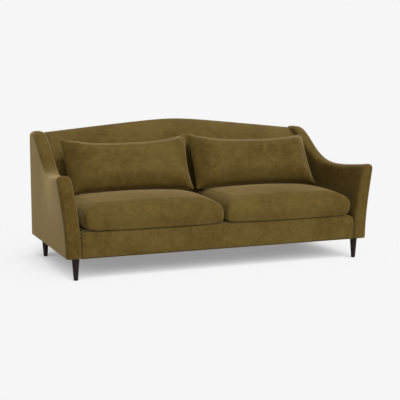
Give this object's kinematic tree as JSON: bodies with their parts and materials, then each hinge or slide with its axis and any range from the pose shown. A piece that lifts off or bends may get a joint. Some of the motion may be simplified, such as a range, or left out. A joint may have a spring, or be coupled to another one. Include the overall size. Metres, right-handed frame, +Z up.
{
  "type": "camelback sofa",
  "caption": "Upholstered camelback sofa with loose seat and back cushions, arms that flare at the front and sweep up to the back, and round tapered wood legs.",
  "frame": {"origin": "on the floor under the middle of the sofa, halfway along its width and its depth", "axes": "+X to the right as seen from the front, +Y from the front to the back, +Z up"},
  "size_m": [2.0504, 0.96, 0.88],
  "materials": {
    "velvet": "matte",
    "foam": "matte",
    "timber": "matte",
    "dark_wood": "satin",
    "steel": "satin",
    "webbing": "matte",
    "lining": "matte",
    "zip_tape": "matte"
  },
  "bodies": {
    "frame": {"arm_bottom_rail_left": "timber", "arm_bottom_rail_right": "timber", "arm_cover_left": "velvet", "arm_cover_right": "velvet", "arm_foam_left": "foam", "arm_foam_right": "foam", "arm_front_facing_left": "velvet", "arm_front_facing_right": "velvet", "arm_front_post_left": "timber", "arm_front_post_right": "timber", "arm_rear_post_left": "timber", "arm_rear_post_right": "timber", "arm_top_rail_left": "timber", "arm_top_rail_right": "timber", "back_bottom_rail": "timber", "back_centre_stile": "timber", "back_foam": "foam", "back_post_left": "timber", "back_post_right": "timber", "back_top_rail": "timber", "back_webbing_1": "webbing", "back_webbing_2": "webbing", "back_webbing_3": "webbing", "centre_rail": "timber", "deck_cloth": "velvet", "deck_pad": "foam", "dust_cover": "lining", "front_rail": "timber", "front_rail_cover": "velvet", "inside_back_cover": "velvet", "leg_bolt_front_left": "steel", "leg_bolt_front_right": "steel", "leg_bolt_rear_left": "steel", "leg_bolt_rear_right": "steel", "leg_front_left": "dark_wood", "leg_front_right": "dark_wood", "leg_rear_left": "dark_wood", "leg_rear_right": "dark_wood", "outside_back_cover": "velvet", "seat_spring_left_1": "steel", "seat_spring_left_2": "steel", "seat_spring_left_3": "steel", "seat_spring_left_4": "steel", "seat_spring_right_1": "steel", "seat_spring_right_2": "steel", "seat_spring_right_3": "steel", "seat_spring_right_4": "steel", "side_rail_left": "timber", "side_rail_right": "timber", "spring_rail": "timber"},
    "seat_cushion_left": {"seat_cushion_cover_left": "velvet", "seat_cushion_foam_left": "foam", "seat_cushion_zip_left": "zip_tape"},
    "seat_cushion_right": {"seat_cushion_cover_right": "velvet", "seat_cushion_foam_right": "foam", "seat_cushion_zip_right": "zip_tape"},
    "back_cushion_left": {"back_cushion_cover_left": "velvet", "back_cushion_filling_left": "foam"},
    "back_cushion_right": {"back_cushion_cover_right": "velvet", "back_cushion_filling_right": "foam"}
  },
  "joints": [
    {"name": "seat_cushion_left_lift", "type": "slide", "parent": "frame", "child": "seat_cushion_left", "axis": [0, 0, 1], "range_m": [0, 0.62]},
    {"name": "back_cushion_left_lift", "type": "slide", "parent": "seat_cushion_left", "child": "back_cushion_left", "axis": [0, 0, 1], "range_m": [0, 0.45]},
    {"name": "seat_cushion_right_lift", "type": "slide", "parent": "frame", "child": "seat_cushion_right", "axis": [0, 0, 1], "range_m": [0, 0.62]},
    {"name": "back_cushion_right_lift", "type": "slide", "parent": "seat_cushion_right", "child": "back_cushion_right", "axis": [0, 0, 1], "range_m": [0, 0.45]}
  ]
}
